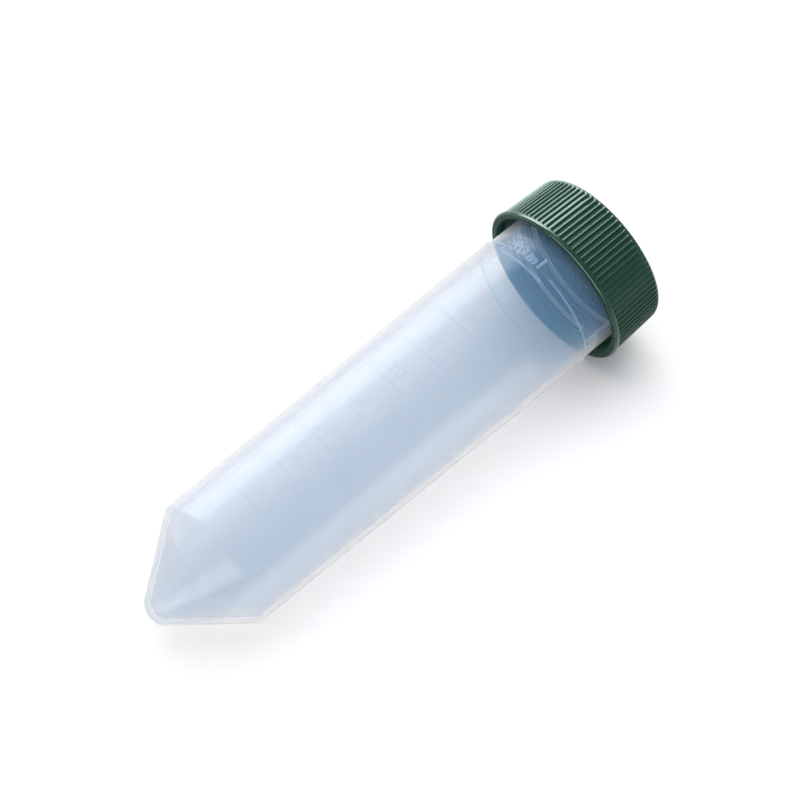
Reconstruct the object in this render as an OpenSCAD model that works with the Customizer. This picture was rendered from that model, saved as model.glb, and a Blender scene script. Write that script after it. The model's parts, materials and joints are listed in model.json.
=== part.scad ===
// Conical-bottom tube with a ribbed screw cap and a sealing liner.
// The tube lies along X: its conical tip points to -X and its cap to +X.
// The origin is on the table, under the middle of the length.
// Shapes are drawn along their own +Z from the tip, then laid down by lay_down().
// Angles round the axis count from straight down, by the right-hand rule about +X.

/* [Overall] */
// Length from the tip to the flat top of the closed cap
total_length = 117; // [114:0.5:122]
// Wall thickness of the tube
wall = 1.1; // [0.9:0.05:1.3]

/* [Tube body] */
// Outer radius of the rounded tip
tip_r = 4.35; // [3:0.05:5]
// Half angle of the cone at the bottom
cone_half_angle = 36.8; // [33:0.1:39]
// Outer radius where the cone meets the body
shoulder_r = 13.87; // [13.5:0.01:14.1]
// Rounding between the cone and the body
shoulder_round = 2; // [1:0.1:3]
// Outer radius of the straight band under the neck
seat_r = 14.75; // [14.6:0.01:14.8]
// Where the straight band starts, from the tip
seat_start = 84; // [70:1:90]
// Where the neck starts at its parting ring, from the tip
neck_start = 98.35; // [97:0.05:99]

/* [Neck thread] */
// Rise of the thread in one turn
thread_lead = 4; // [3.8:0.1:4.4]
// Turns of thread on the neck
neck_turns = 1.5; // [1:0.1:1.6]
// Middle of the thread where it starts, from the tip
thread_start = 106.9; // [106.5:0.1:107.1]
// Direction in which the neck thread starts
thread_start_angle = 339; // [0:1:359]
// Radius of the thread's crest
thread_crest_r = 15.5; // [15.2:0.05:15.55]

/* [Moulded marks] */
// Middle of the top volume mark, from the tip
top_mark = 96.65; // [94:0.05:97]
// Spacing of the volume marks
mark_pitch = 8.9; // [7:0.1:9]
// Number of volume marks
mark_count = 9; // [1:1:9]
// Height of the raised marks
mark_relief = 0.12; // [0.05:0.01:0.2]
// Direction of the middle of the marks
mark_angle = 171; // [0:1:359]
// Direction of the neck's first parting line
seam_angle = 258; // [0:1:359]

/* [Cap] */
// Height of the cap
cap_height = 13.1; // [13:0.1:14]
// Radius of the plain bead round the cap's open edge
bead_r = 17.65; // [17.5:0.01:18]
// Height of that bead
bead_height = 1; // [0.9:0.1:2]
// Radius over the ribs, next to the bead
skirt_r = 17.4; // [17.3:0.01:17.45]
// Radius over the ribs, next to the top
skirt_top_r = 16.85; // [16.8:0.01:17.2]
// Rounding of the top edge
top_round = 1.2; // [0.8:0.1:1.5]
// Number of grip ribs
rib_count = 88; // [60:1:90]
// Depth of the grooves between the ribs
rib_depth = 0.45; // [0.2:0.05:0.45]
// Radius of the cap's bore
cap_bore_r = 15.85; // [15.8:0.01:15.95]
// Thickness of the cap's top
cap_top = 1.3; // [1:0.1:1.6]
// Turns of thread inside the cap
cap_turns = 1.25; // [1:0.05:1.3]

/* [Liner] */
// Thickness of the sealing disc
liner_thickness = 0.8; // [0.5:0.1:1]
// Radius of the sealing disc
liner_r = 15.6; // [15.4:0.05:15.6]

/* [Hidden] */
$fn = 96;
face_gap = 0.02;
cap_start = total_length - cap_height;
cap_ceiling = total_length - cap_top;
mouth = cap_ceiling - liner_thickness - 2 * face_gap;
neck_step = 0.2;
neck_r = seat_r - neck_step;
bore_r = seat_r - wall;
lip_chamfer = 0.3;
// Extra thickness of the wall at the tip, as a share of the wall
tip_growth = 0.2;
tip_wall = (1 + tip_growth) * wall;
arc_steps = 10;
// How far a cut runs past the end that it opens
cut_over = 1;

// Thread ridges: half widths at the root and at the crest
ridge_root = 0.9;
ridge_crest = 0.4;
// How far a ridge is sunk into the wall that carries it
ridge_sink = 0.3;
// Clear radial gap between the cap's ridge and the neck
ridge_gap = 0.35;
// The cap's ridge runs this far under the neck's ridge
ridge_offset = 1.35;
// Rings in one turn of a thread, turns over which its ends taper,
// and the share of its height and width left at the very end
ring_steps = 36;
lead_in = 0.06;
end_height = 0.2;
end_width = 0.6;
// Turns by which the cap's thread starts before the neck's
cap_thread_before = 0.05;

// Moulded lines: width and span of a mark, width, height and end of a parting line,
// and how far each of them is sunk into the wall
mark_width = 0.35;
mark_span = 42;
seam_width = 0.25;
seam_relief = 0.1;
// The parting lines run this far under the cap
seam_under_cap = 3;
seam_top = cap_start + seam_under_cap;
line_sink = 0.3;

// Ribs: how far they run into the bead and into the top edge, how long the grooves take
// to fade there, how far the crests are sunk, and how far the bars are sunk into the wall
rib_overlap = 0.3;
rib_top_overlap = 0.1;
rib_run_out = 0.4;
crest_sink = 0.03;
rib_sink = 0.3;
// Half widths of a rib at its foot and at its crest, as shares of the spacing
rib_foot = 0.36;
rib_crest = 0.16;
// Rounding of the bead's two edges
bead_round = 0.4;

// Inside of the cap: chamfer at the open edge and catch ring under the liner
mouth_chamfer = 0.4;
chamfer_height = 0.8;
catch_height = 0.6;
catch_width = 0.5;
catch_drop = 0.1;

function arc(r, z, radius, from, to) = [
    for (i = [0:arc_steps])
        let (t = from + (to - from) * i / arc_steps)
        [r + radius * cos(t), z + radius * sin(t)]
];

// Height of the middle of the shoulder's round, over the tip
function shoulder_z(round_r, corner_r, ball_r, base) =
    let (a = cone_half_angle)
    base + ball_r * (1 - sin(a)) + round_r * sin(a)
    + (corner_r - round_r + round_r * cos(a) - ball_r * cos(a)) / tan(a);

// Half of the tube's outline from the tip up to the shoulder
function bottom_outline(round_r, corner_r, ball_r, base) = concat(
    arc(0, base + ball_r, ball_r, -90, -cone_half_angle),
    arc(corner_r - round_r, shoulder_z(round_r, corner_r, ball_r, base),
        round_r, -cone_half_angle, 0)
);

// One cross-section of a thread ridge, a trapezoid whose wide side is sunk in the wall.
// grow runs from 0 at the ridge's ends to 1
function ridge_section(root, crest, z, turn, grow) =
    let (
        rise = (crest - root) * (end_height + (1 - end_height) * grow),
        wide = end_width + (1 - end_width) * grow,
        back = root - sign(rise) * ridge_sink,
        low = ridge_root * wide,
        high = ridge_crest * wide,
        a = 360 * turn
    )
    [
        for (p = [[back, -low], [root + rise, -high], [root + rise, high], [back, low]])
            [p[0] * cos(a), p[0] * sin(a), z + p[1]]
    ];

module lay_down() {
    translate([-total_length / 2, 0, bead_r])
        rotate([0, 90, 0])
            children();
}

// A helical ridge whose ends taper into the wall
module thread_ridge(root, crest, start_z, start_turn, turns) {
    steps = ceil(turns * ring_steps);
    points = [
        for (i = [0:steps])
            let (t = turns * i / steps, grow = min(1, t / lead_in, (turns - t) / lead_in))
            each ridge_section(root, crest, start_z + thread_lead * t, start_turn + t, grow)
    ];
    sides = [
        for (i = [0:steps - 1], k = [0:3])
            let (a = 4 * i + k, b = 4 * i + (k + 1) % 4)
            each [[a, a + 4, b + 4], [a, b + 4, b]]
    ];
    ends = [[0, 1, 2, 3], [for (k = [3:-1:0]) 4 * steps + k]];
    faces = concat(sides, ends);
    // A ridge that stands outwards winds the other way round
    polyhedron(points, root > crest ? faces : [for (f = faces) [for (k = [len(f) - 1:-1:0]) f[k]]]);
}

module tube_shell() {
    outer = concat(
        bottom_outline(shoulder_round, shoulder_r, tip_r, 0),
        [[seat_r, seat_start], [seat_r, neck_start], [neck_r, neck_start],
         [neck_r, mouth - lip_chamfer], [neck_r - lip_chamfer, mouth], [0, mouth]]
    );
    inner = concat(
        bottom_outline(shoulder_round - wall / 2, shoulder_r - wall, tip_r - wall, tip_wall),
        [[bore_r, seat_start], [bore_r, mouth + cut_over], [0, mouth + cut_over]]
    );
    difference() {
        rotate_extrude()
            polygon(outer);
        rotate_extrude()
            polygon(inner);
    }
}

// Cross-section of a moulded line, a low roof that meets a wall of radius r at its full width
module line_section(r, width, relief) {
    foot = width / 2 * (relief + line_sink) / relief;
    polygon([[r - line_sink, -foot], [r + relief, 0], [r - line_sink, foot]]);
}

// Raised volume marks, each a short arc round the wall
module volume_marks() {
    shoulder = shoulder_z(shoulder_round, shoulder_r, tip_r, 0);
    for (i = [0:mark_count - 1]) {
        z = top_mark - i * mark_pitch;
        run = (z - shoulder) / (seat_start - shoulder);
        r = min(seat_r, shoulder_r + (seat_r - shoulder_r) * run);
        translate([0, 0, z])
            rotate([0, 0, mark_angle - mark_span / 2])
                rotate_extrude(angle = mark_span)
                    line_section(r, mark_width, mark_relief);
    }
}

// The ring and the two lines that the neck's split mould leaves
module neck_seams() {
    translate([0, 0, neck_start])
        rotate_extrude()
            line_section(seat_r, seam_width, seam_relief);
    for (a = [seam_angle, seam_angle + 180])
        rotate([0, 0, a])
            translate([0, 0, neck_start])
                linear_extrude(height = seam_top - neck_start)
                    line_section(neck_r, seam_width, seam_relief);
}

module tube_body() {
    color([0.80, 0.86, 0.92, 0.6])
        lay_down() {
            tube_shell();
            volume_marks();
            neck_seams();
            thread_ridge(neck_r, thread_crest_r, thread_start, thread_start_angle / 360, neck_turns);
        }
}

// Grip ribs: straight bars round the cap, trimmed to a cone that narrows towards the top
module grip_ribs(height) {
    root_r = skirt_top_r - rib_depth - rib_sink;
    outline = [
        for (i = [0:rib_count - 1], k = [[-rib_foot, 0], [-rib_crest, 1], [rib_crest, 1], [rib_foot, 0]])
            let (
                r = k[1] == 1 ? skirt_r + rib_sink : root_r,
                a = 360 * (i + k[0]) / rib_count
            )
            [r * cos(a), r * sin(a)]
    ];
    intersection() {
        linear_extrude(height = height)
            polygon(outline);
        cylinder(r1 = skirt_r, r2 = skirt_top_r - crest_sink, h = height);
    }
}

// Plain parts of the cap outside the ribs: the bead and the rounded top
module cap_core() {
    core_r = skirt_r - rib_depth;
    core_top_r = skirt_top_r - rib_depth;
    shoulder = cap_height - top_round;
    rotate_extrude()
        polygon(concat(
            [[0, 0]],
            arc(bead_r - bead_round, bead_round, bead_round, -90, 0),
            arc(bead_r - bead_round, bead_height - bead_round, bead_round, 0, 90),
            [[core_r, bead_height], [core_top_r, shoulder - rib_run_out], [skirt_top_r, shoulder]],
            arc(skirt_top_r - top_round, shoulder, top_round, 0, 90),
            [[0, cap_height]]
        ));
}

module cap_hollow() {
    ceiling = cap_ceiling - cap_start;
    catch_top = mouth - cap_start - catch_drop;
    catch_r = cap_bore_r - catch_width;
    rotate_extrude()
        polygon([
            [0, -cut_over], [cap_bore_r + mouth_chamfer, -cut_over],
            [cap_bore_r + mouth_chamfer, 0], [cap_bore_r, chamfer_height], [cap_bore_r, catch_top - catch_height],
            [catch_r, catch_top - catch_height / 2], [cap_bore_r, catch_top],
            [cap_bore_r, ceiling], [0, ceiling]
        ]);
}

module screw_cap() {
    color([0.06, 0.20, 0.15])
        lay_down() {
            translate([0, 0, cap_start])
                difference() {
                    union() {
                        cap_core();
                        translate([0, 0, bead_height - rib_overlap])
                            grip_ribs(cap_height - top_round - bead_height + rib_overlap + rib_top_overlap);
                    }
                    cap_hollow();
                }
            thread_ridge(
                cap_bore_r, neck_r + ridge_gap,
                thread_start - ridge_offset - thread_lead * cap_thread_before,
                thread_start_angle / 360 - cap_thread_before, cap_turns
            );
        }
}

module cap_liner() {
    color([0.05, 0.09, 0.08])
        lay_down()
            translate([0, 0, mouth + face_gap])
                cylinder(r = liner_r, h = liner_thickness);
}

tube_body();
screw_cap();
cap_liner();
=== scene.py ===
"""Looks of a conical-bottom screw-cap tube: milky tube body, dark green ribbed cap, dark sealing liner.

Every surface is a turned grid: rows follow a profile (h, r), columns are directions b round the axis.
h is millimetres from the tip along +X. b is degrees from straight down, by the right-hand rule about +X.
Moulded detail (threads, ribs, marks, numerals, parting lines) moves the grid along the profile's normal.
"""
import json
import math

import bpy
import numpy as np
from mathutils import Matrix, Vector


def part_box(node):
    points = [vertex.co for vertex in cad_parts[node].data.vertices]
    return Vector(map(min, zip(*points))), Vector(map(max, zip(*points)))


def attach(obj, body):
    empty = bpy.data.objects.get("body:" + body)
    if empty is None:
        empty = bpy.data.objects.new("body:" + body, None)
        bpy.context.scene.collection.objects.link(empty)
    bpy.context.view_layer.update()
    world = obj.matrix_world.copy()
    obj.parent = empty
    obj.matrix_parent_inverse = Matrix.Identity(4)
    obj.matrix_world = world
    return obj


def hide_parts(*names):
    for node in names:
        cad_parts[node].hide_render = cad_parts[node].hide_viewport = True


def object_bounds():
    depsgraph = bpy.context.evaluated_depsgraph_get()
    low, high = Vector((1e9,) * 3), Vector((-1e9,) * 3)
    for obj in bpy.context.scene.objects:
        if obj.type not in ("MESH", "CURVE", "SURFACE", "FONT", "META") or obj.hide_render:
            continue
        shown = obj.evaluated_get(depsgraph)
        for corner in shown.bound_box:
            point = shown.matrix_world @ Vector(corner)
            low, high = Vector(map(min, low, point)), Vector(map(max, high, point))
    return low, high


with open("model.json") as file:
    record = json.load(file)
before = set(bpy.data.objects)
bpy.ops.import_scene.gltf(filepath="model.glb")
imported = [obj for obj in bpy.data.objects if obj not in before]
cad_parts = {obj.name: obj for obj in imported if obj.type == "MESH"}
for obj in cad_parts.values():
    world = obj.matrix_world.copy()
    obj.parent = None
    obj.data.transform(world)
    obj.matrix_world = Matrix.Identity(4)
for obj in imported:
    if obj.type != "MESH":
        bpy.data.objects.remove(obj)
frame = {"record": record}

MM = 0.001
cad_lo, cad_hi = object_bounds()
tube_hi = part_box("tube_body")[1]
cap_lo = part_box("screw_cap")[0]
liner_lo, liner_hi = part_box("cap_liner")
TIP_X = cad_lo.x
AXIS_Z = (cad_lo.z + cad_hi.z) / 2


def along(x):
    """Distance from the tip in mm of a place x in the frame."""
    return (x - TIP_X) / MM


# Driving dimensions in mm and degrees, from the frame where it states them
LENGTH = along(cad_hi.x)
CAP_START = along(cap_lo.x)
MOUTH = along(tube_hi.x)
LINER_START = along(liner_lo.x)
LINER_END = along(liner_hi.x)
LINER_R = (liner_hi.z - liner_lo.z) / 2 / MM
BEAD_R = (cad_hi.z - cad_lo.z) / 2 / MM
SEAT_R = next(m["dims"]["r_mm"] for m in frame["record"]["mounts"] if m["name"] == "seat_band")

# Tube body: a ball tip, a cone, a rounded shoulder, a slightly tapered body, a straight seat and the neck
WALL = 1.1
TIP_R = 4.35
TIP_WALL = 1.2 * WALL
CONE_HALF_ANGLE = 36.8
SHOULDER_H = 15.9
SHOULDER_R = 13.87
SHOULDER_ROUND = 1.6
SEAT_START = 84.0
SEAT_EASE = 6.0
NECK_START = 98.35
NECK_STEP = 0.2
STEP_ROUND = 0.12
NECK_R = SEAT_R - 0.2
BORE_R = SEAT_R - WALL
LIP_ROUND = 0.35

# Thread, shared by the neck and the cap: turns from a start, with the ridge's half widths at root and crest
LEAD = 4.0
NECK_TURNS = 1.5
THREAD_START = 106.9
THREAD_ANGLE = 339.0
THREAD_CREST_R = 15.5
RIDGE_ROOT = 0.9
RIDGE_CREST = 0.4
CAP_TURNS = 1.25
CAP_THREAD_BEFORE = 0.05
CAP_THREAD_OFFSET = 1.35
CAP_CREST_R = NECK_R + 0.35

# Raised marks and numerals, with sides that rise over LINE_SIDE; the lower marks are fainter
LINE_SIDE = 0.16
TOP_MARK = 96.65
MARK_PITCH = 8.9
MARK_COUNT = 9
MARK_WIDTH = 0.34
MARK_FROM = 150.0
MARK_TO = 192.0
MARK_RELIEF = 0.14
LOWER_MARKS = 0.22
STROKE = 0.34
TEXT_SIZE = 2.1
TEXT_RISE = 1.65
NUMBER_PITCH = 10.4
TOP_NUMBER_ANGLE = 152.7
LOWER_NUMBER_ANGLE = 168.0
UNIT_ANGLE = 174.1
UNIT_PITCH = 10.5
TOP_VOLUME = 50
VOLUME_STEP = 5

# Parting ring and lines of the neck's split mould; RING_GONE is the share of the ring lost over the marks
PARTING_RELIEF = 0.14
RING_HALF_WIDTH = 0.16
RING_GONE = 0.85
SEAM_ANGLES = (78.0, 258.0)
SEAM_WIDTH = 0.6
SEAM_END = 108.0

# Cap: a rib's crest and flank, and its crown, are shares of half a rib's pitch
BEAD_HEIGHT = 1.0
BEAD_ROUND = 0.4
SKIRT_R = 17.4
SKIRT_TOP_R = 16.85
TOP_ROUND = 1.4
RIB_COUNT = 88
RIB_COLUMNS = 10
RIB_DEPTH = 0.45
RIB_CREST = 0.22
RIB_FLANK = 0.42
CROWN_DEPTH = 0.04
CROWN_HALF = 0.3
CAP_BORE_R = 15.85
CATCH_WIDTH = 0.5
CATCH_RISE = 0.3
CLEARANCE = 0.02
GROOVE_R = 13.2
GROOVE_WIDTH = 0.6
GROOVE_SIDE = 0.15
GROOVE_DEPTH = 0.1
DIMPLE_R = 1.5
DIMPLE_SIDE = 0.3
DIMPLE_DEPTH = 0.2

# Liner: depth of the print the mouth has left in it
PRINT_DEPTH = 0.06

# Tolerance for lengths that count as nothing
TINY = 1e-6


# ---------------------------------------------------------------- grids

def arc(h, r, radius, start, end, steps):
    """Points (h, r) on a round, with angles in degrees from the +r direction towards +h."""
    return [
        (h + radius * math.sin(math.radians(a)), r + radius * math.cos(math.radians(a)))
        for a in np.linspace(start, end, steps + 1)
    ]


def rounded(corners, steps=4):
    """A profile through corners (h, r, round), each inner corner eased to its own round."""
    points = [np.array(corner[:2], float) for corner in corners]
    out = [points[0]]
    for i in range(1, len(corners) - 1):
        before = points[i - 1] - points[i]
        after = points[i + 1] - points[i]
        start = points[i] + before / np.linalg.norm(before) * corners[i][2]
        end = points[i] + after / np.linalg.norm(after) * corners[i][2]
        for t in np.linspace(0, 1, steps + 1):
            out.append((1 - t) ** 2 * start + 2 * t * (1 - t) * points[i] + t * t * end)
    out.append(points[-1])
    return [tuple(p) for p in out]


def refine(profile, coarse, zones=()):
    """The same profile with rows no further apart than coarse, or than a zone's own step.

    A zone is (low h, high h, step)."""
    out = [profile[0]]
    for (h0, r0), (h1, r1) in zip(profile[:-1], profile[1:]):
        length = math.hypot(h1 - h0, r1 - r0)
        cuts = {0.0, 1.0}
        if abs(h1 - h0) > TINY:
            for low, high, _ in zones:
                cuts |= {t for t in ((low - h0) / (h1 - h0), (high - h0) / (h1 - h0)) if 0 < t < 1}
        cuts = sorted(cuts)
        for t0, t1 in zip(cuts[:-1], cuts[1:]):
            middle = h0 + (h1 - h0) * (t0 + t1) / 2
            step = min([coarse] + [z[2] for z in zones if z[0] <= middle <= z[1]])
            count = max(1, math.ceil((t1 - t0) * length / step - TINY))
            for t in np.linspace(t0, t1, count + 1)[1:]:
                out.append((h0 + (h1 - h0) * t, r0 + (r1 - r0) * t))
    return out


def columns(coarse, zones):
    """Directions round the axis in degrees, coarse apart, and closer in zones (low, high, step)."""
    angles = set()
    for k in range(round(360 / coarse)):
        a = k * coarse
        if not any(low < a < high for low, high, _ in zones):
            angles.add(round(a, 4))
    for low, high, step in zones:
        angles |= {round(a, 4) for a in np.linspace(low, high, round((high - low) / step) + 1)}
    return np.array(sorted(angles))


def unit_rows(vectors):
    return vectors / np.maximum(np.linalg.norm(vectors, axis=1, keepdims=True), 1e-9)


def normals_of(path):
    """Outward normals (h, r) of a profile's rows."""
    ahead = np.roll(path, -1, 0) - path
    behind = path - np.roll(path, 1, 0)
    ahead[-1], behind[0] = behind[-1], ahead[0]
    tangent = unit_rows(unit_rows(ahead) + unit_rows(behind))
    return np.stack([-tangent[:, 1], tangent[:, 0]], 1)


def slope_of(move, path, turn):
    """Steepness of a relief over its surface, from the rows of a profile and the columns of a turn."""
    gap = np.maximum(np.linalg.norm(np.diff(path, axis=0), axis=1, keepdims=True), TINY)
    rise = np.abs(np.diff(move, axis=0)) / gap
    rise = np.maximum(np.vstack([rise, rise[-1:]]), np.vstack([rise[:1], rise]))
    arc_gap = np.maximum(path[:, 1:] * ((np.roll(turn, -1) - turn) % (2 * math.pi)), TINY)
    side = np.abs(np.roll(move, -1, 1) - move) / arc_gap
    return np.hypot(rise, np.maximum(side, np.roll(side, 1, 1)))


def grid_faces(index, cols, second_from):
    """Faces between the rows of a grid, round the turn, and each face's material index."""
    wrap = np.roll(index, -1, 1)
    quads = np.stack([index[:-1], wrap[:-1], wrap[1:], index[1:]], -1).reshape(-1, 4)
    faces, slots = [], []
    for k, quad in enumerate(quads.tolist()):
        face = [v for i, v in enumerate(quad) if v != quad[i - 1]]
        if len(face) > 2:
            faces.append(face)
            slots.append(int(k // cols >= second_from))
    return faces, slots


def turned(name, profile, angles, relief=None, second_from=math.inf):
    """A closed turned surface. relief(h, b, r, normal) gives the move along the normal, in mm.

    Faces from the profile's row second_from on take the piece's second material. Rows on the axis
    become one point. The attribute "steepness" tells the material where the relief is.
    """
    path = np.array(profile, float)
    on_axis = path[:, 1] < TINY
    rows, cols = len(path), len(angles)
    h = np.repeat(path[:, :1], cols, 1)
    r = np.repeat(path[:, 1:], cols, 1)
    b = np.repeat(angles[None, :], rows, 0)
    steepness = np.zeros_like(h)
    if relief:
        normal = normals_of(path)
        move = relief(h, b, r, normal)
        move[on_axis] = 0
        steepness = slope_of(move, path, np.radians(angles))
        h = h + normal[:, :1] * move
        r = r + normal[:, 1:] * move
    rad = np.radians(b)
    xyz = np.stack([TIP_X + h * MM, r * np.sin(rad) * MM, AXIS_Z - r * np.cos(rad) * MM], -1)
    index = np.arange(rows * cols).reshape(rows, cols)
    index[on_axis] = index[on_axis, :1]
    keep = (index == np.arange(rows * cols).reshape(rows, cols)).reshape(-1)
    index = (np.cumsum(keep) - 1)[index]
    faces, slots = grid_faces(index, cols, second_from)
    mesh = bpy.data.meshes.new(name)
    mesh.from_pydata(xyz.reshape(-1, 3)[keep].tolist(), [], faces)
    mesh.polygons.foreach_set("use_smooth", np.ones(len(mesh.polygons), bool))
    mesh.polygons.foreach_set("material_index", slots)
    edge = mesh.attributes.new("steepness", "FLOAT", "POINT")
    edge.data.foreach_set("value", steepness.reshape(-1)[keep])
    mesh.validate()
    piece = bpy.data.objects.new(name, mesh)
    bpy.context.scene.collection.objects.link(piece)
    return piece


def smooth_step(x):
    x = np.clip(x, 0, 1)
    return x * x * (3 - 2 * x)


def raised_line(off, width):
    """Height, 0 to 1, of a raised line with eased sides, at a distance off from its middle."""
    return smooth_step((width / 2 + LINE_SIDE / 2 - off) / LINE_SIDE)


def turn_between(b, a):
    """b - a in degrees, from -180 to 180."""
    return (b - a + 180) % 360 - 180


# ---------------------------------------------------------------- moulded detail

def ridge(h, b, r, start_h, start_b, turns, height):
    """Height of a helical ridge with rounded ends over the wall that carries it."""
    out = np.zeros_like(h)
    base = ((b - start_b) % 360) / 360
    for k in range(-1, math.ceil(turns) + 1):
        t = base + k
        inside = np.clip(t, 0, turns)
        off = np.hypot(h - start_h - LEAD * inside, (t - inside) * 2 * math.pi * r)
        out = np.maximum(out, height * smooth_step((RIDGE_ROOT - off) / (RIDGE_ROOT - RIDGE_CREST)))
    return out


def curve(x, y, rx, ry, start, end, steps=14):
    """Points of an elliptical stroke, angles in degrees anticlockwise from +x."""
    return [
        (x + rx * math.cos(math.radians(a)), y + ry * math.sin(math.radians(a)))
        for a in np.linspace(start, end, steps + 1)
    ]


# Strokes of each character on a cell 0.8 wide and 1 tall, and how far round the cell they are worked out
CELL_WIDTH = 0.8
CELL_X = (-0.4, 1.3)
CELL_Y = (-0.3, 1.5)
STROKES = {
    "0": [curve(0.4, 0.5, 0.36, 0.5, 0, 360, 24)],
    "1": [[(0.2, 0.78), (0.45, 1.0), (0.45, 0.0)]],
    "2": [curve(0.4, 0.68, 0.34, 0.32, 165, -20) + [(0.06, 0.0), (0.76, 0.0)]],
    "3": [curve(0.38, 0.75, 0.3, 0.25, 150, -90), curve(0.38, 0.27, 0.35, 0.27, 90, -150)],
    "4": [[(0.58, 0.0), (0.58, 1.0), (0.04, 0.3), (0.78, 0.3)]],
    "5": [[(0.7, 1.0), (0.16, 1.0), (0.1, 0.55)] + curve(0.38, 0.32, 0.34, 0.32, 120, -150)],
    "m": [[(0.0, 0.0), (0.0, 0.62)], curve(0.2, 0.4, 0.2, 0.2, 180, 0) + [(0.4, 0.0)],
          curve(0.6, 0.4, 0.2, 0.2, 180, 0) + [(0.8, 0.0)]],
    "l": [[(0.1, 0.0), (0.1, 1.15)]],
}


def distance_to(px, py, line):
    """Distance of each place from the nearest piece of a line through points."""
    best = np.full(px.shape, np.inf)
    for (x0, y0), (x1, y1) in zip(line[:-1], line[1:]):
        dx, dy = x1 - x0, y1 - y0
        t = np.clip(((px - x0) * dx + (py - y0) * dy) / (dx * dx + dy * dy), 0, 1)
        best = np.minimum(best, np.hypot(px - x0 - t * dx, py - y0 - t * dy))
    return best


def characters(h, b, r, text, mark, first_b, pitch_b):
    """Height, 0 to 1, of raised characters above a mark, that read towards growing b."""
    out = np.zeros_like(h)
    for k, char in enumerate(text):
        x = np.radians(turn_between(b, first_b + k * pitch_b)) * r / TEXT_SIZE + CELL_WIDTH / 2
        y = (h - mark - TEXT_RISE) / TEXT_SIZE
        near = (x > CELL_X[0]) & (x < CELL_X[1]) & (y > CELL_Y[0]) & (y < CELL_Y[1])
        if near.any():
            off = np.min([distance_to(x[near], y[near], line) for line in STROKES[char]], 0)
            out[near] = np.maximum(out[near], raised_line(off * TEXT_SIZE, STROKE))
    return out


def volume_marks(h, b, r):
    """Relief of the volume scale: a line for each mark, with its number, and the unit at the top one."""
    out = np.zeros_like(h)
    ends = smooth_step((b - MARK_FROM + 0.6) / 1.2) * smooth_step((MARK_TO + 0.6 - b) / 1.2)
    for i in range(MARK_COUNT):
        mark = TOP_MARK - i * MARK_PITCH
        number = str(TOP_VOLUME - VOLUME_STEP * i)
        number_b = LOWER_NUMBER_ANGLE if i else TOP_NUMBER_ANGLE
        raised = raised_line(np.abs(h - mark), MARK_WIDTH) * ends
        raised = np.maximum(raised, characters(h, b, r, number, mark, number_b, NUMBER_PITCH))
        out = np.maximum(out, MARK_RELIEF * (LOWER_MARKS if i else 1) * raised)
    unit = characters(h, b, r, "ml", TOP_MARK, UNIT_ANGLE, UNIT_PITCH)
    return np.maximum(out, MARK_RELIEF * unit)


def parting_lines(h, b, r):
    """Relief of the ring under the neck, fainter over the marks, and the two lines along the neck."""
    over_marks = smooth_step((b - MARK_FROM + 4) / 3) * smooth_step((MARK_TO + 4 - b) / 3)
    ring = np.exp(-((h - NECK_START) / RING_HALF_WIDTH) ** 2) * (1 - RING_GONE * over_marks)
    run = smooth_step((h - NECK_START + 0.2) / 0.3) * smooth_step((SEAM_END - h) / 2)
    for angle in SEAM_ANGLES:
        off = np.abs(np.radians(turn_between(b, angle)) * r)
        ring = np.maximum(ring, raised_line(off, SEAM_WIDTH) * run)
    return PARTING_RELIEF * ring


def tube_relief(h, b, r, normal):
    outside = normal[:, 1:] > 0.3
    thread = ridge(h, b, r, THREAD_START, THREAD_ANGLE, NECK_TURNS, THREAD_CREST_R - NECK_R)
    return np.maximum.reduce([volume_marks(h, b, r), parting_lines(h, b, r), thread]) * outside


def cap_relief(h, b, r, normal):
    inner = (r < CAP_BORE_R + 0.2) & (normal[:, 1:] < -0.5)
    start_b = THREAD_ANGLE - 360 * CAP_THREAD_BEFORE
    start_h = THREAD_START - CAP_THREAD_OFFSET - LEAD * CAP_THREAD_BEFORE
    thread = ridge(h, b, r, start_h, start_b, CAP_TURNS, CAP_BORE_R - CAP_CREST_R)
    outer = normal[:, 1:] > 0.3
    ribbed = smooth_step((h - CAP_START - BEAD_HEIGHT - 0.02) / 0.3)
    ribbed = ribbed * smooth_step((LENGTH - 0.45 - h) / 1.0)
    # away is 0 in the middle of a rib's crest and 1 in the middle of a groove
    away = np.abs((b * RIB_COUNT / 360) % 1 - 0.5) * 2
    depth = smooth_step((away - RIB_CREST) / RIB_FLANK)
    crown = CROWN_DEPTH * (away / CROWN_HALF) ** 2 * (away < CROWN_HALF)
    rib = -RIB_DEPTH * np.clip(depth + crown * (1 - depth), 0, 1) * ribbed
    return np.where(inner, thread, 0) + np.where(outer, rib, 0)


# ---------------------------------------------------------------- pieces

def bottom(round_r, corner_r, ball_r, base, steps):
    """Profile of the rounded tip, the cone and the shoulder."""
    a = math.radians(CONE_HALF_ANGLE)
    shoulder = base + ball_r * (1 - math.sin(a)) + round_r * math.sin(a)
    shoulder += (corner_r - round_r + round_r * math.cos(a) - ball_r * math.cos(a)) / math.tan(a)
    tip = arc(base + ball_r, 0, ball_r, -90, -CONE_HALF_ANGLE, steps)
    return tip + arc(shoulder, corner_r - round_r, round_r, -CONE_HALF_ANGLE, 0, steps)


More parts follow.
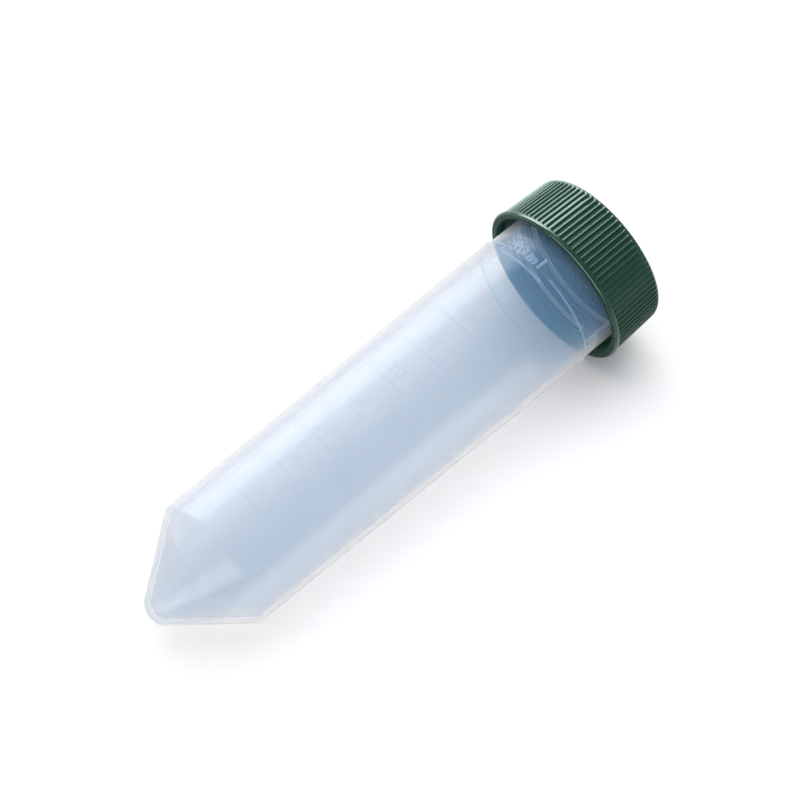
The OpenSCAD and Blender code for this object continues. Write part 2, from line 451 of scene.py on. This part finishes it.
def make_tube():
    outer = bottom(SHOULDER_ROUND, SHOULDER_R, TIP_R, 0, 12)
    inner = bottom(SHOULDER_ROUND - WALL / 2, SHOULDER_R - WALL, TIP_R - WALL, TIP_WALL, 10)
    steps = 5
    wall = rounded([
        (*outer[-1], 0), (SEAT_START, SEAT_R, SEAT_EASE), (NECK_START, SEAT_R, STEP_ROUND),
        (NECK_START + NECK_STEP, NECK_R, STEP_ROUND), (MOUTH, NECK_R, LIP_ROUND),
        (MOUTH, BORE_R, LIP_ROUND), (SEAT_START, BORE_R, SEAT_EASE), (SEAT_START - 4, BORE_R, 0),
    ], steps)
    wall[-1] = (inner[-1][0] + 1, inner[-1][1] + 0.01)
    # the outer wall ends after four eased corners, at the outer edge of the mouth
    mouth_row = 1 + 4 * (steps + 1)
    neck_rows = (NECK_START - 0.4, NECK_START + 0.6, 0.06)
    thread_rows = (THREAD_START - 1.4, MOUTH - 1.2, 0.16)
    mark_rows, text_rows = [], []
    for i in range(MARK_COUNT):
        mark = TOP_MARK - i * MARK_PITCH
        text_end = 4.2 if i else 5.0
        mark_rows.append((mark - 0.32, mark + 0.32, 0.08))
        text_rows.append((mark + 1.4, mark + text_end, 0.11))
    zones = [neck_rows, thread_rows] + mark_rows + text_rows
    outside = refine(outer + wall[1:mouth_row], 2.5, zones)
    inside = refine([outside[-1]] + wall[mouth_row:] + inner[::-1], 4.0)
    mark_columns = (MARK_FROM - 3, MARK_TO + 3, 0.45)
    seam_columns = [(a - 2.1, a + 2.1, 0.15) for a in SEAM_ANGLES]
    angles = columns(3.0, [mark_columns] + seam_columns)
    piece = turned("Tube_body_shell", outside + inside[1:], angles, tube_relief, len(outside) - 1)
    piece.data.materials.append(milky_plastic("milky_plastic", 0.8, 0.9))
    piece.data.materials.append(milky_plastic("milky_plastic_inside", 0.0, 0.0))
    return piece


def make_cap():
    rim = BEAD_R - BEAD_ROUND
    ceiling = LINER_END + CLEARANCE
    catch = MOUTH - 0.1
    bead_end = CAP_START + BEAD_HEIGHT
    inner = rounded([
        (ceiling, 0, 0), (ceiling, CAP_BORE_R, 0.25), (catch, CAP_BORE_R, 0.06),
        (catch - CATCH_RISE, CAP_BORE_R - CATCH_WIDTH, 0.12),
        (catch - 2 * CATCH_RISE, CAP_BORE_R, 0.06),
        (CAP_START + 0.8, CAP_BORE_R, 0.1), (CAP_START, CAP_BORE_R + 0.4, 0.1), (CAP_START, rim, 0),
    ])
    bead = arc(CAP_START + BEAD_ROUND, rim, BEAD_ROUND, -90, 0, 6)
    bead += arc(bead_end - BEAD_ROUND, rim, BEAD_ROUND, 0, 62, 5)
    skirt = [(bead_end - 0.02, SKIRT_R), (LENGTH - TOP_ROUND, SKIRT_TOP_R)]
    edge = arc(LENGTH - TOP_ROUND, SKIRT_TOP_R - TOP_ROUND, TOP_ROUND, 0, 90, 12)
    groove_floor = LENGTH - GROOVE_DEPTH
    dimple_floor = LENGTH - DIMPLE_DEPTH
    disc = rounded([
        (*edge[-1], 0), (LENGTH, GROOVE_R, 0.05), (groove_floor, GROOVE_R - GROOVE_SIDE, 0.05),
        (groove_floor, GROOVE_R - GROOVE_WIDTH + GROOVE_SIDE, 0.05),
        (LENGTH, GROOVE_R - GROOVE_WIDTH, 0.05),
        (LENGTH, DIMPLE_R, 0.1), (dimple_floor, DIMPLE_R - DIMPLE_SIDE, 0.1), (dimple_floor, 0, 0),
    ], 2)
    thread_rows = (CAP_START + 1.5, THREAD_START + 4.2, 0.22)
    rib_end_rows = (bead_end, bead_end + 0.4, 0.08)
    inside = refine(inner, 3.5, [thread_rows])
    outside = refine(bead + skirt, 1.8, [rib_end_rows])
    angles = np.arange(RIB_COUNT * RIB_COLUMNS) * 360 / (RIB_COUNT * RIB_COLUMNS)
    profile = inside + outside[1:] + edge[1:] + refine(disc, 5.0)[1:]
    piece = turned("Screw_cap_ribbed", profile, angles, cap_relief, len(inside) - 1)
    piece.data.materials.append(green_plastic("green_plastic_inside", 0.15, 0.45))
    piece.data.materials.append(green_plastic("green_plastic_ribbed", 0.5, 0.15))
    return piece


def make_liner():
    bed = LINER_START + PRINT_DEPTH
    profile = rounded([
        (LINER_START, 0, 0), (LINER_START, BORE_R - 0.1, 0.08), (bed, BORE_R + 0.1, 0.08),
        (bed, NECK_R - 0.1, 0.08), (LINER_START, NECK_R + 0.1, 0.08),
        (LINER_START, LINER_R, 0.15), (LINER_END, LINER_R, 0.15), (LINER_END, 0, 0),
    ])
    piece = turned("Liner_disc", refine(profile, 2.0), np.arange(0, 360, 3.0))
    piece.data.materials.append(dark_foam())
    return piece


# ---------------------------------------------------------------- materials

def shader(name):
    material = bpy.data.materials.new(name)
    material.use_nodes = True
    tree = material.node_tree
    tree.nodes.clear()
    return material, tree, tree.nodes.new("ShaderNodeOutputMaterial")


def feed(tree, socket, value):
    """Give a socket a number, a colour (r, g, b) or another node's output."""
    if isinstance(value, bpy.types.NodeSocket):
        tree.links.new(value, socket)
    else:
        socket.default_value = (*value, 1) if isinstance(value, tuple) else value


def noise(tree, scale, detail=2.0):
    place = tree.nodes.new("ShaderNodeTexCoord")
    node = tree.nodes.new("ShaderNodeTexNoise")
    feed(tree, node.inputs["Scale"], scale)
    feed(tree, node.inputs["Detail"], detail)
    feed(tree, node.inputs["Vector"], place.outputs["Object"])
    return node.outputs["Fac"]


def spread(tree, value, low, high):
    """Stretch the middle of a noise to run from low to high."""
    node = tree.nodes.new("ShaderNodeMapRange")
    feed(tree, node.inputs["From Min"], 0.3)
    feed(tree, node.inputs["From Max"], 0.7)
    feed(tree, node.inputs["To Min"], low)
    feed(tree, node.inputs["To Max"], high)
    feed(tree, node.inputs["Value"], value)
    return node.outputs["Result"]


def bump(tree, value, distance, strength=1.0):
    node = tree.nodes.new("ShaderNodeBump")
    feed(tree, node.inputs["Distance"], distance)
    feed(tree, node.inputs["Strength"], strength)
    feed(tree, node.inputs["Height"], value)
    return node.outputs["Normal"]


def two_colours(tree, value, first, second):
    node = tree.nodes.new("ShaderNodeMix")
    node.data_type = "RGBA"
    feed(tree, node.inputs["Factor"], value)
    feed(tree, node.inputs["A"], first)
    feed(tree, node.inputs["B"], second)
    return node.outputs["Result"]


def math_node(tree, operation, first, second):
    node = tree.nodes.new("ShaderNodeMath")
    node.operation = operation
    feed(tree, node.inputs[0], first)
    feed(tree, node.inputs[1], second)
    return node.outputs[0]


def mixed(tree, factor, first, second):
    node = tree.nodes.new("ShaderNodeMixShader")
    feed(tree, node.inputs["Fac"], factor)
    feed(tree, node.inputs[1], first.outputs[0])
    feed(tree, node.inputs[2], second.outputs[0])
    return node


def milky_plastic(name, edge_haze, edge_gloss):
    """Translucent wall: mostly clear, with a bluish haze that pales towards grazing views, under a gloss.

    The wall lets lamps through more freely than it shows what is behind it, as thin scattering plastic
    does. Steep relief is painted hazier and paler than the plain wall, a painted highlight on its sides.
    """
    material, tree, out = shader(name)
    # rim grows towards grazing views, raised towards steep relief; edge is the paler of the two
    facing = tree.nodes.new("ShaderNodeLayerWeight")
    facing.inputs["Blend"].default_value = 0.5
    rim = math_node(tree, "POWER", facing.outputs["Facing"], 3.0)
    relief = tree.nodes.new("ShaderNodeAttribute")
    relief.attribute_name = "steepness"
    # raised paints steep relief paler and hazier: a painted highlight along the moulded lines' sides
    raised = math_node(tree, "MULTIPLY", relief.outputs["Fac"], 0.5)
    raised = math_node(tree, "MINIMUM", raised, 1.0)
    edge = math_node(tree, "MULTIPLY", rim, 2.5)
    edge = math_node(tree, "MAXIMUM", edge, math_node(tree, "MULTIPLY", raised, 0.8))
    edge = math_node(tree, "MINIMUM", edge, 1.0)
    # the scattering body, its glow, the clear part and the gloss
    haze = spread(tree, noise(tree, 70.0), 0.0, 1.0)
    blue = two_colours(tree, haze, (0.25, 0.53, 0.87), (0.29, 0.57, 0.91))
    colour = two_colours(tree, edge, blue, (0.64, 0.65, 0.69))
    body = tree.nodes.new("ShaderNodeBsdfPrincipled")
    feed(tree, body.inputs["Base Color"], colour)
    body.inputs["Roughness"].default_value = 0.3
    body.inputs["Specular IOR Level"].default_value = 0.3
    glow = tree.nodes.new("ShaderNodeBsdfTranslucent")
    feed(tree, glow.inputs["Color"], colour)
    clear = tree.nodes.new("ShaderNodeBsdfTransparent")
    clear.inputs["Color"].default_value = (0.996, 0.963, 0.925, 1)
    gloss = tree.nodes.new("ShaderNodeBsdfGlossy")
    feed(tree, gloss.inputs["Roughness"], spread(tree, noise(tree, 260.0), 0.12, 0.20))
    ripple = bump(tree, noise(tree, 120.0, 1.0), 0.00002)
    for node in (body, glow, gloss):
        feed(tree, node.inputs["Normal"], ripple)
    # how much scatters, less for a lamp's shadow rays, and how much mirrors
    cloud = math_node(tree, "MULTIPLY", rim, edge_haze)
    # the extra haze on steep relief is part of its painted highlight
    cloud = math_node(tree, "ADD", cloud, math_node(tree, "MULTIPLY", raised, 0.85))
    opacity = math_node(tree, "MINIMUM", math_node(tree, "ADD", cloud, 0.16), 1.0)
    ray = tree.nodes.new("ShaderNodeLightPath")
    dimmer = math_node(tree, "MULTIPLY", ray.outputs["Is Shadow Ray"], -0.8)
    opacity = math_node(tree, "MULTIPLY", opacity, math_node(tree, "ADD", dimmer, 1.0))
    mirror = math_node(tree, "POWER", facing.outputs["Facing"], 5.0)
    mirror = math_node(tree, "ADD", math_node(tree, "MULTIPLY", mirror, edge_gloss), 0.004)
    wall = mixed(tree, opacity, clear, mixed(tree, 0.4, body, glow))
    feed(tree, out.inputs["Surface"], mixed(tree, mirror, wall, gloss).outputs[0])
    return material


def green_plastic(name, specular, roughness):
    """Dark bottle-green plastic with a fine grain and a green-tinted sheen."""
    material, tree, out = shader(name)
    body = tree.nodes.new("ShaderNodeBsdfPrincipled")
    tone = spread(tree, noise(tree, 140.0, 3.0), 0.0, 1.0)
    colour = two_colours(tree, tone, (0.002, 0.030, 0.017), (0.004, 0.037, 0.021))
    feed(tree, body.inputs["Base Color"], colour)
    body.inputs["Specular IOR Level"].default_value = specular
    body.inputs["Specular Tint"].default_value = (0.72, 1.0, 0.90, 1)
    grain = spread(tree, noise(tree, 420.0, 3.0), roughness, roughness + 0.08)
    feed(tree, body.inputs["Roughness"], grain)
    feed(tree, body.inputs["Normal"], bump(tree, noise(tree, 2600.0), 0.00001, 0.6))
    feed(tree, out.inputs["Surface"], body.outputs[0])
    return material


def dark_foam():
    """Dark grey-green sealing disc with a fine foamed grain."""
    material, tree, out = shader("liner_foam")
    body = tree.nodes.new("ShaderNodeBsdfPrincipled")
    tone = spread(tree, noise(tree, 900.0, 3.0), 0.0, 1.0)
    colour = two_colours(tree, tone, (0.008, 0.030, 0.024), (0.012, 0.038, 0.030))
    feed(tree, body.inputs["Base Color"], colour)
    body.inputs["Roughness"].default_value = 0.65
    feed(tree, body.inputs["Normal"], bump(tree, noise(tree, 3000.0), 0.00003))
    feed(tree, out.inputs["Surface"], body.outputs[0])
    return material


def pale_floor():
    material, tree, out = shader("pale_floor")
    body = tree.nodes.new("ShaderNodeBsdfPrincipled")
    body.inputs["Base Color"].default_value = (0.86, 0.86, 0.86, 1)
    body.inputs["Roughness"].default_value = 0.9
    body.inputs["Specular IOR Level"].default_value = 0.1
    feed(tree, out.inputs["Surface"], body.outputs[0])
    return material


# ---------------------------------------------------------------- object

for make, body, node, slot in (
    (make_tube, "tube", "tube_body", "clear_plastic"),
    (make_cap, "cap", "screw_cap", "cap_plastic"),
    (make_liner, "seal", "cap_liner", "liner_foam"),
):
    piece = make()
    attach(piece, body)
    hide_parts(node)


# ---------------------------------------------------------------- floor, light and camera

# All in metres, and the lens and sensor in millimetres
FLOOR_HALF = 3.0
FLOOR_GAP = 0.00005
CAMERA_AZIMUTH = math.radians(-42.69)
CAMERA_ELEVATION = math.radians(62.48)
CAMERA_TARGET = Vector((0.00552, 0.00096, 0.02013))
CAMERA_DISTANCE = 0.6119
CAMERA_LENS = 144
CAMERA_SENSOR = 36


def make_floor():
    """A plain table that meets the bead and the shoulder, on which the tube lies."""
    bead_x = TIP_X + (CAP_START + BEAD_HEIGHT / 2) * MM
    shoulder_x = TIP_X + SHOULDER_H * MM
    slope = (AXIS_Z - SHOULDER_R * MM - cad_lo.z) / (bead_x - shoulder_x)
    corners = []
    for x, y in ((-1, -1), (1, -1), (1, 1), (-1, 1)):
        height = cad_lo.z - FLOOR_GAP + slope * (bead_x - x * FLOOR_HALF)
        corners.append((x * FLOOR_HALF, y * FLOOR_HALF, height))
    mesh = bpy.data.meshes.new("Floor")
    mesh.from_pydata(corners, [], [(0, 1, 2, 3)])
    floor = bpy.data.objects.new("Floor", mesh)
    bpy.context.scene.collection.objects.link(floor)
    mesh.materials.append(pale_floor())


def panel(name, place, width, height, power, reflects=True, lights_matt=True):
    """A soft lamp that faces the middle of the tube."""
    light = bpy.data.lights.new(name, "AREA")
    light.shape = "RECTANGLE"
    light.size, light.size_y = width, height
    light.energy = power
    lamp = bpy.data.objects.new(name, light)
    lamp.visible_glossy = reflects
    lamp.visible_diffuse = lights_matt
    lamp.location = place
    lamp.rotation_euler = (Vector((0, 0, AXIS_Z)) - Vector(place)).to_track_quat("-Z", "Y").to_euler()
    bpy.context.scene.collection.objects.link(lamp)


def make_lights():
    panel("Key_side", (0.15, 0.62, 0.085), 1.2, 0.15, 3.6)
    panel("Top", (0.20, 0.20, 0.95), 1.2, 1.0, 9.8, reflects=False)
    panel("Strip", (0.30, 0.27, 0.85), 1.0, 0.16, 0.5)
    panel("Fill", (-0.3, -0.9, 0.35), 0.7, 0.4, 1.6)
    panel("Sheen", (0.30, 0.60, 0.36), 0.9, 0.40, 15.0, lights_matt=False)
    panel("Rim", (-0.8, -0.1, 0.25), 1.2, 0.3, 14.0, lights_matt=False)


def make_world():
    world = bpy.data.worlds.new("Studio")
    world.use_nodes = True
    background = world.node_tree.nodes["Background"]
    background.inputs["Color"].default_value = (0.93, 0.95, 1.0, 1)
    background.inputs["Strength"].default_value = 0.5
    bpy.context.scene.world = world


def make_camera():
    level = math.cos(CAMERA_ELEVATION)
    back = Vector((
        math.sin(CAMERA_AZIMUTH) * level, -math.cos(CAMERA_AZIMUTH) * level, math.sin(CAMERA_ELEVATION),
    ))
    camera = bpy.data.objects.new("Camera", bpy.data.cameras.new("Camera"))
    camera.data.lens = CAMERA_LENS
    camera.data.sensor_width = CAMERA_SENSOR
    camera.data.clip_start = 0.01
    camera.location = CAMERA_TARGET + CAMERA_DISTANCE * back
    camera.rotation_euler = (-back).to_track_quat("-Z", "Y").to_euler()
    bpy.context.scene.collection.objects.link(camera)
    bpy.context.scene.camera = camera


make_floor()
make_lights()
make_world()
make_camera()
bpy.context.scene.view_settings.view_transform = "Standard"
